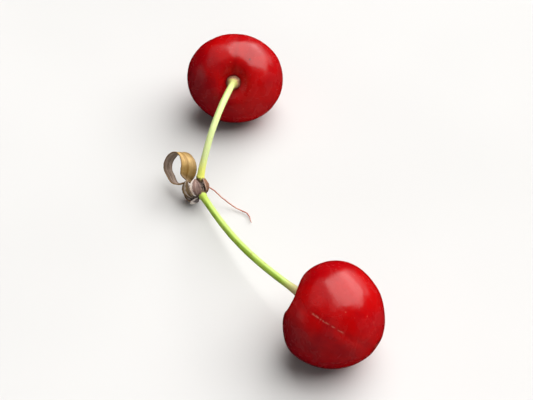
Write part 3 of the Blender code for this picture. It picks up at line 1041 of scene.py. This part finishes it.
def skin_suture(tree, cherry, place, up, colour):
    """A thin line down one side, pale and broken where the skin has corked over. Its cork comes with it."""
    values = {"Vector": place, "Axis": (0.0, 0.0, 1.0), "Angle": -math.radians(cherry.suture_turn)}
    beside = parts_of(tree, lay(tree, "ShaderNodeVectorRotate", values).outputs[0])
    off_line = plus(tree, reckon(tree, "ABSOLUTE", beside[1]), wobble(tree, place, 450.0, 0.35 * MM))
    front = reckon(tree, "GREATER_THAN", beside[0], 0.0)
    line = times(tree, spread_out(tree, off_line, 0.9 * MM, 0.1 * MM), front)
    colour = tint(tree, line, colour, SKIN_SUTURE, 0.16)
    begins = spread_out(tree, up, cherry.corked_from, cherry.corked_from + 1.2 * MM)
    ends = spread_out(tree, up, cherry.corked_to, cherry.corked_to - 1.2 * MM)
    cork = times(tree, spread_out(tree, off_line, 0.17 * MM, 0.07 * MM), front)
    cork = times(tree, cork, times(tree, begins, ends))
    cork = times(tree, cork, spread_out(tree, cloud(tree, place, 1500.0, 1.0), 0.42, 0.52))
    return tint(tree, cork, colour, SKIN_CORK, cherry.cork_amount), cork


def skin_ends(tree, place, parts, colour):
    """Painted shade in a ring where the stalk sits, with a brown scar at the tip. The pit and the scar come
    with it.
    """
    flat = lay(tree, "ShaderNodeCombineXYZ", {0: parts[0], 1: parts[1]}).outputs[0]
    from_axis = lay(tree, "ShaderNodeVectorMath", {0: flat}, operation="LENGTH").outputs["Value"]
    top = reckon(tree, "GREATER_THAN", parts[2], 0.0)
    pit = times(tree, spread_out(tree, from_axis, 4.2 * MM, 2.2 * MM), top)
    # painted shade where the stalk's button meets the skin at the bottom of the cavity
    painted_cavity_shade = times(tree, spread_out(tree, from_axis, 2.2 * MM, 1.7 * MM), top)
    colour = tint(tree, painted_cavity_shade, colour, SKIN_PAINTED_CAVITY_SHADE, 0.7)
    tip = reckon(tree, "LESS_THAN", parts[2], 0.0)
    from_tip = plus(tree, from_axis, wobble(tree, place, 2600.0, 0.6 * MM))
    scar = times(tree, spread_out(tree, from_tip, 0.6 * MM, 0.35 * MM), tip)
    halo = times(tree, spread_out(tree, from_tip, 2.6 * MM, 0.6 * MM), tip)
    colour = tint(tree, halo, colour, SKIN_TIP_HALO, 0.4)
    return tint(tree, scar, colour, SKIN_TIP_SCAR), pit, scar


def cherry_skin(cherry, groups):
    """Ripe skin: uneven reds, painted shade on one side, a fine suture, lenticels, rubs and a waxy gloss."""
    material, tree, shader = new_finish(cherry.node + "_skin")
    place = grown_place(tree)
    parts = parts_of(tree, place)
    colour = skin_reds(tree, groups, cherry, place)
    colour = skin_marks(tree, groups, place, colour)
    colour, cork = skin_suture(tree, cherry, place, parts[2], colour)
    colour, pit, scar = skin_ends(tree, place, parts, colour)

    # A thin bloom dulls the gloss in patches, and rubs cut through it.
    film = spread_out(tree, cloud(tree, place, 230.0, 4.0, 0.6, 0.5), 0.35, 0.7)
    colour = tint(tree, film, colour, SKIN_BLOOM, 0.012)
    rubbed = stretch(tree, place, (1.0, 0.12, 0.5))
    rubs = spread_out(tree, cloud(tree, rubbed, 1600.0, 2.0, 0.5), 0.62, 0.7)
    rough = plus(tree, spread_out(tree, film, 0.0, 1.0, 0.21, 0.30), rubs, 0.08)
    rough = plus(tree, rough, scar, 0.4)
    rough = plus(tree, rough, pit, 0.06)
    wire(tree, shader, colour, rough)

    peel = cloud(tree, place, 1900.0, 2.0, 0.5)
    lumps = cloud(tree, place, 420.0, 2.0, 0.5)
    height = plus(tree, plus(tree, lumps, peel, 0.12), cork, -0.4)
    raise_skin(tree, shader, height, 0.08 * MM)
    set_shine(shader, 0.38)
    set_glow(shader, 0.12, (1.0, 0.12, 0.08), 1.5 * MM)
    return material


# -------- stalk green


STALK_STREAK = (0.20, 0.30, 0.02)
STALK_LENTICEL = (0.55, 0.50, 0.22)
STALK_RUST = (0.36, 0.22, 0.05)
STALK_FOOT_CORK = (0.16, 0.10, 0.06)
STALK_BUTTON_RIM = (0.46, 0.24, 0.15)
STALK_BUTTON_EDGE = (0.14, 0.05, 0.03)


def stalk_green(cherry, groups, length, painted_light_way):
    """Green stalk: lengthwise fibres, painted light on one flank and, on the back stalk, towards its foot,
    corky ends.
    """
    material, tree, shader = new_finish(cherry.stalk_node + "_green")
    place = grown_place(tree)
    parts = parts_of(tree, place)
    fibres = fibrous(tree, groups, lengthwise(tree, parts), 3600.0, 0.06)
    mottle = mottled(tree, groups, place, 260.0, 2400.0)
    colour = tint(tree, mottle["Broad"], cherry.stalk_fresh, cherry.stalk_sunny, 0.7)
    colour = tint(tree, fibres["Streaks"], colour, STALK_STREAK, 0.30)
    # painted light: the flank that faces the painted light's way is painted paler
    facing = reach_along(tree, place, painted_light_way)
    painted_light_mask = spread_out(tree, facing, -0.10 * STALK_RADIUS, 0.55 * STALK_RADIUS, 0.0, cherry.painted_light_flank)
    colour = tint(tree, painted_light_mask, colour, cherry.stalk_painted_light)
    # painted light: the stalk is painted paler towards its foot, where less light reaches it
    painted_light_foot_mask = spread_out(tree, parts[2], 0.8 * length, 0.25 * length, 0.0, cherry.painted_light_foot)
    colour = tint(tree, painted_light_foot_mask, colour, cherry.stalk_painted_light)
    colour = tint(tree, strewn(tree, groups, place, 1500.0, 0.16, 0.16), colour, STALK_LENTICEL, 0.55)
    rust = spread_out(tree, cloud(tree, place, 520.0, 3.0, 0.6), 0.60, 0.72)
    colour = tint(tree, rust, colour, STALK_RUST, 0.45)

    from_foot = plus(tree, parts[2], mottle["Fine"], 0.7 * MM)
    from_foot = minus(tree, from_foot, STALK_ROOT)
    colour = tint(tree, spread_out(tree, from_foot, 6.5 * MM, 1.5 * MM), colour, cherry.foot_tint, 0.8)
    cork = spread_out(tree, from_foot, 0.9 * MM, 0.4 * MM)
    colour = tint(tree, cork, colour, STALK_FOOT_CORK)
    from_button = minus(tree, length - STALK_ROOT, parts[2])
    from_button = plus(tree, from_button, mottle["Fine"], -0.8 * MM)
    colour = tint(tree, spread_out(tree, from_button, 5.5 * MM, 0.6 * MM), colour, cherry.button_tint, 0.8)
    colour = tint(tree, spread_out(tree, from_button, 1.1 * MM, 0.2 * MM), colour, STALK_BUTTON_RIM, 0.85)
    colour = tint(tree, spread_out(tree, from_button, 0.3 * MM, -0.1 * MM), colour, STALK_BUTTON_EDGE, 0.8)

    rough = plus(tree, spread_out(tree, fibres["Streaks"], 0.0, 1.0, 0.36, 0.5), cork, 0.35)
    wire(tree, shader, colour, rough)
    raise_skin(tree, shader, plus(tree, fibres["Height"], mottle["Fine"], 0.35), 0.06 * MM)
    set_shine(shader, 0.45)
    set_glow(shader, 0.1, (0.7, 1.0, 0.2), 0.6 * MM)
    return material


# -------- spur bark


BARK_BROWN = (0.13, 0.085, 0.065)
BARK_GREY = (0.30, 0.24, 0.20)
BARK_WEATHERED = (0.42, 0.36, 0.32)
BARK_RUST = (0.42, 0.17, 0.07)
BARK_CRACK = (0.03, 0.018, 0.012)
BARK_RING = (0.05, 0.03, 0.02)
BARK_RING_TURNS = 4700.0  # radians to the metre, a full turn to each ring
BROKEN_WOOD = ((0.55, 0.33, 0.16), (0.30, 0.16, 0.07))


def spur_bark(name, groups):
    """Grey brown bark: cracked plates, pale weathered ridges, tan wood where it broke."""
    material, tree, shader = new_finish(name)
    place = grown_place(tree)
    height_up = parts_of(tree, place)[2]
    drawn = stretch(tree, place, (1.0, 1.0, SPUR_DRAW))
    plates = {"Vector": drawn, "Scale": 1100.0}
    off_edge = lay(tree, "ShaderNodeTexVoronoi", plates, feature="DISTANCE_TO_EDGE").outputs["Distance"]
    cracks = spread_out(tree, off_edge, 0.10, 0.01)
    mottle = mottled(tree, groups, place, 700.0, 3200.0)
    colour = tint(tree, mottle["Broad"], BARK_BROWN, BARK_GREY)
    colour = tint(tree, mottle["Fine"], colour, BARK_WEATHERED, 0.5)
    rusty = spread_out(tree, cloud(tree, place, 520.0, 3.0, 0.6), 0.52, 0.66)
    colour = tint(tree, rusty, colour, BARK_RUST, 0.75)
    colour = tint(tree, cracks, colour, BARK_CRACK, 0.85)
    rings = spread_out(tree, reckon(tree, "SINE", times(tree, height_up, BARK_RING_TURNS)), 0.55, 1.0)
    rings = times(tree, rings, reckon(tree, "LESS_THAN", height_up, 0.0))
    colour = tint(tree, rings, colour, BARK_RING, 0.5)
    broken = spread_out(tree, height_up, -3.6 * MM, -3.85 * MM)
    colour = tint(tree, broken, colour, tint(tree, mottle["Fine"], *BROKEN_WOOD))
    wire(tree, shader, colour, spread_out(tree, mottle["Fine"], 0.0, 1.0, 0.72, 0.92))
    raise_skin(tree, shader, minus(tree, mottle["Fine"], cracks), 0.12 * MM)
    set_shine(shader, 0.35)
    return material


# -------- dry husks, bract and thread


# A husk has bleached along its left or its right rim, seen with its tip up, along its fold and at its tip
Husk = namedtuple("Husk", "body vein shade left_rim rim_amount fold_amount tip_amount")
HUSKS = {
    "silvered": Husk((0.31, 0.18, 0.145), (0.53, 0.36, 0.31), (0.12, 0.075, 0.07), True, 0.95, 0.0, 0.0),
    "pewter": Husk((0.16, 0.13, 0.125), (0.46, 0.38, 0.37), (0.06, 0.045, 0.045), False, 0.6, 0.0, 0.95),
    "olive": Husk((0.21, 0.12, 0.045), (0.43, 0.30, 0.15), (0.085, 0.045, 0.016), False, 0.12, 0.5, 0.0),
    "tan": Husk((0.28, 0.12, 0.06), (0.46, 0.23, 0.13), (0.14, 0.07, 0.04), True, 0.2, 0.0, 0.0),
}
HUSK_FOOT = (0.05, 0.03, 0.02)
HUSK_BLEACHED = (0.90, 0.80, 0.74)

Leaf = namedtuple("Leaf", "body light dark stain")
BRACT_OUTSIDE = Leaf((0.40, 0.22, 0.045), (0.84, 0.58, 0.24), (0.20, 0.11, 0.02), (0.15, 0.07, 0.02))
BRACT_INSIDE = Leaf((0.25, 0.17, 0.115), (0.66, 0.52, 0.43), (0.10, 0.06, 0.035), (0.07, 0.04, 0.02))
LEAF_FOOT = (0.10, 0.06, 0.03)
THREAD_REDS = ((0.42, 0.10, 0.07), (0.68, 0.34, 0.26))


def dry_husk(name, groups, husk):
    """Papery dry scale: lengthwise fibres, a dark base, and a rim, a fold or a tip that has bleached."""
    material, tree, shader = new_finish(name)
    place = grown_place(tree)
    sheet = sheet_parts(tree)
    fibres = fibrous(tree, groups, place, 4200.0, 0.10)
    mottle = mottled(tree, groups, place, 600.0, 3000.0)
    colour = tint(tree, fibres["Streaks"], husk.body, husk.vein)
    colour = tint(tree, mottle["Broad"], colour, husk.shade, 0.6)
    colour = tint(tree, spread_out(tree, sheet[0], 0.28, 0.02), colour, HUSK_FOOT, 0.7)
    from_fold = reckon(tree, "ABSOLUTE", minus(tree, sheet[1], 0.55))
    from_fold = plus(tree, from_fold, mottle["Fine"], 0.05)
    fold = spread_out(tree, from_fold, 0.10, 0.03, 0.0, husk.fold_amount)
    colour = tint(tree, fold, colour, HUSK_BLEACHED)
    across = sheet[1] if husk.left_rim else minus(tree, 1.0, sheet[1])
    across = plus(tree, across, mottle["Fine"], 0.10)
    rim = spread_out(tree, across, 0.74, 0.88, 0.0, husk.rim_amount)
    colour = tint(tree, rim, colour, HUSK_BLEACHED)
    from_base = plus(tree, sheet[0], mottle["Fine"], 0.12)
    tip = spread_out(tree, from_base, 0.62, 0.80, 0.0, husk.tip_amount)
    colour = tint(tree, tip, colour, HUSK_BLEACHED)
    wire(tree, shader, colour, spread_out(tree, fibres["Streaks"], 0.0, 1.0, 0.55, 0.75))
    raise_skin(tree, shader, plus(tree, fibres["Height"], mottle["Fine"], 0.3), 0.12 * MM)
    set_shine(shader, 0.4)
    return material


def dry_leaf(name, groups, leaf):
    """Dry leaf of the bract: fine veins along it, lighter ridges and brown stains."""
    material, tree, shader = new_finish(name)
    place = grown_place(tree)
    sheet = sheet_parts(tree)
    fibres = fibrous(tree, groups, place, 2600.0, 0.05)
    mottle = mottled(tree, groups, place, 330.0, 2600.0)
    colour = tint(tree, fibres["Streaks"], leaf.body, leaf.light)
    colour = tint(tree, mottle["Broad"], colour, leaf.dark, 0.55)
    colour = tint(tree, strewn(tree, groups, place, 1200.0, 0.2, 0.2), colour, leaf.stain, 0.4)
    off_middle = reckon(tree, "ABSOLUTE", minus(tree, sheet[1], 0.5))
    off_middle = plus(tree, off_middle, mottle["Fine"], 0.05)
    colour = tint(tree, spread_out(tree, off_middle, 0.44, 0.52), colour, leaf.stain, 0.6)
    colour = tint(tree, spread_out(tree, sheet[0], 0.34, 0.12), colour, leaf.dark, 0.55)
    colour = tint(tree, spread_out(tree, sheet[0], 0.16, 0.06), colour, LEAF_FOOT, 0.8)
    wire(tree, shader, colour, spread_out(tree, fibres["Streaks"], 0.0, 1.0, 0.42, 0.6))
    raise_skin(tree, shader, fibres["Height"], 0.12 * MM)
    set_shine(shader, 0.45)
    return material


def thread_fibre(name, groups):
    material, tree, shader = new_finish(name)
    parts = parts_of(tree, grown_place(tree))
    fibres = fibrous(tree, groups, lengthwise(tree, parts), 9000.0, 0.1)
    colour = tint(tree, fibres["Streaks"], *THREAD_REDS)
    wire(tree, shader, colour, spread_out(tree, fibres["Streaks"], 0.0, 1.0, 0.5, 0.7))
    raise_skin(tree, shader, fibres["Height"], 0.03 * MM)
    return material


def table_finish():
    material, tree, shader = new_finish("pale_table")
    place = lay(tree, "ShaderNodeTexCoord").outputs["Object"]
    cloudy = spread_out(tree, cloud(tree, place, 9.0, 2.0), 0.3, 0.7)
    wire(tree, shader, tint(tree, cloudy, (0.63, 0.63, 0.63), (0.66, 0.66, 0.66)))
    shader.inputs["Roughness"].default_value = 0.9
    set_shine(shader, 0.1)
    return material


# -------- stage


def make_table():
    deselect_all()
    bpy.ops.mesh.primitive_plane_add(size=TABLE_SIZE, location=(0.0, 0.0, 0.0))
    table = new_piece("table_top")
    table.data.materials.append(table_finish())
    table.visible_glossy = False


def soft_light(box):
    """A rectangular soft box. Its brightness is how bright its face is, next to 1 for plain white."""
    way = Vector(box.way).normalized()
    turn = way.to_track_quat("Z", "Y").to_euler()
    deselect_all()
    bpy.ops.object.light_add(type="AREA", location=way * box.distance, rotation=turn)
    light = bpy.context.object
    light.name = box.name
    light.data.shape = "RECTANGLE"
    light.data.size = box.width
    light.data.size_y = box.height
    light.data.energy = box.brightness * math.pi * box.width * box.height
    light.data.color = box.colour
    light.visible_camera = False
    light.visible_diffuse = box.in_diffuse
    light.visible_glossy = box.in_gloss


def make_backdrop():
    """A pale room that only the camera sees: the soft boxes do all the lighting."""
    world = bpy.data.worlds.new("room")
    bpy.context.scene.world = world
    world.use_nodes = True
    backdrop = world.node_tree.nodes["Background"]
    backdrop.inputs["Color"].default_value = BACKDROP_COLOUR
    backdrop.inputs["Strength"].default_value = BACKDROP_STRENGTH
    world.cycles_visibility.diffuse = False
    world.cycles_visibility.glossy = False


def make_camera():
    rise = math.radians(VIEW_RISE)
    place = Vector(VIEW_AIM) + Vector((0.0, -math.cos(rise), math.sin(rise))) * VIEW_DISTANCE
    deselect_all()
    bpy.ops.object.camera_add(location=place, rotation=(math.radians(90.0) - rise, 0.0, 0.0))
    camera = bpy.context.object
    camera.name = "view_from_the_front"
    camera.data.lens = VIEW_LENS
    camera.data.sensor_width = 36.0
    camera.data.clip_start = 0.01
    camera.data.clip_end = 20.0
    bpy.context.scene.camera = camera
    view = bpy.context.scene.view_settings
    view.view_transform = "Standard"
    view.look = "None"
    view.exposure = 0.0


# -------- put together


def add_fruit(cherry, groups):
    """Puts the fruit in its place and says where its middle is."""
    fruit, centre = make_fruit(cherry, direction(*cherry.axis))
    hand_over(fruit, cherry.node, "cherry_skin", cherry_skin(cherry, groups))
    return centre


def add_stalk(cherry, dome, centre, groups):
    axis = direction(*cherry.axis)
    stalk, length, painted_light_way = make_stalk(cherry, dome, centre + axis * seat_of(cherry), axis)
    # The waxy skin shows no mirror image of its stalk.
    stalk.visible_glossy = False
    hand_over(stalk, cherry.stalk_node, "stalk_green", stalk_green(cherry, groups, length, painted_light_way))


def build():
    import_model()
    make_camera()
    make_table()
    make_backdrop()
    for box in SOFT_BOXES:
        soft_light(box)

    groups = {"dots": dots_group(), "mottle": mottle_group(), "fibres": fibres_group()}
    low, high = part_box("spur")
    dome = Vector((high.x - SPUR_RADIUS, low.y + SPUR_RADIUS, high.z - SPUR_RADIUS))

    back_centre = add_fruit(BACK_CHERRY, groups)
    front_centre = add_fruit(FRONT_CHERRY, groups)
    add_stalk(BACK_CHERRY, dome, back_centre, groups)
    add_stalk(FRONT_CHERRY, dome, front_centre, groups)
    hand_over(make_spur("knotted_spur", dome), "spur", "spur_bark", spur_bark("spur_bark_grey", groups))

    husks = {name: dry_husk("husk_" + name, groups, husk) for name, husk in HUSKS.items()}
    for number, scale in enumerate(BUD_SCALES):
        husk = make_bud_scale(scale, dome, number * 3.0)
        hand_over(husk, scale.node, "bud_scale_brown", husks[scale.finish])

    outside = dry_leaf("bract_golden", groups, BRACT_OUTSIDE)
    inside = dry_leaf("bract_inner", groups, BRACT_INSIDE)
    hand_over(make_bract("curled_dry_bract", dome, outside, inside), "curled_bract", "dry_bract")
    fibre = thread_fibre("thread_fibre", groups)
    hand_over(make_thread("trailing_thread", dome), "dry_thread", "dry_thread", fibre)


build()
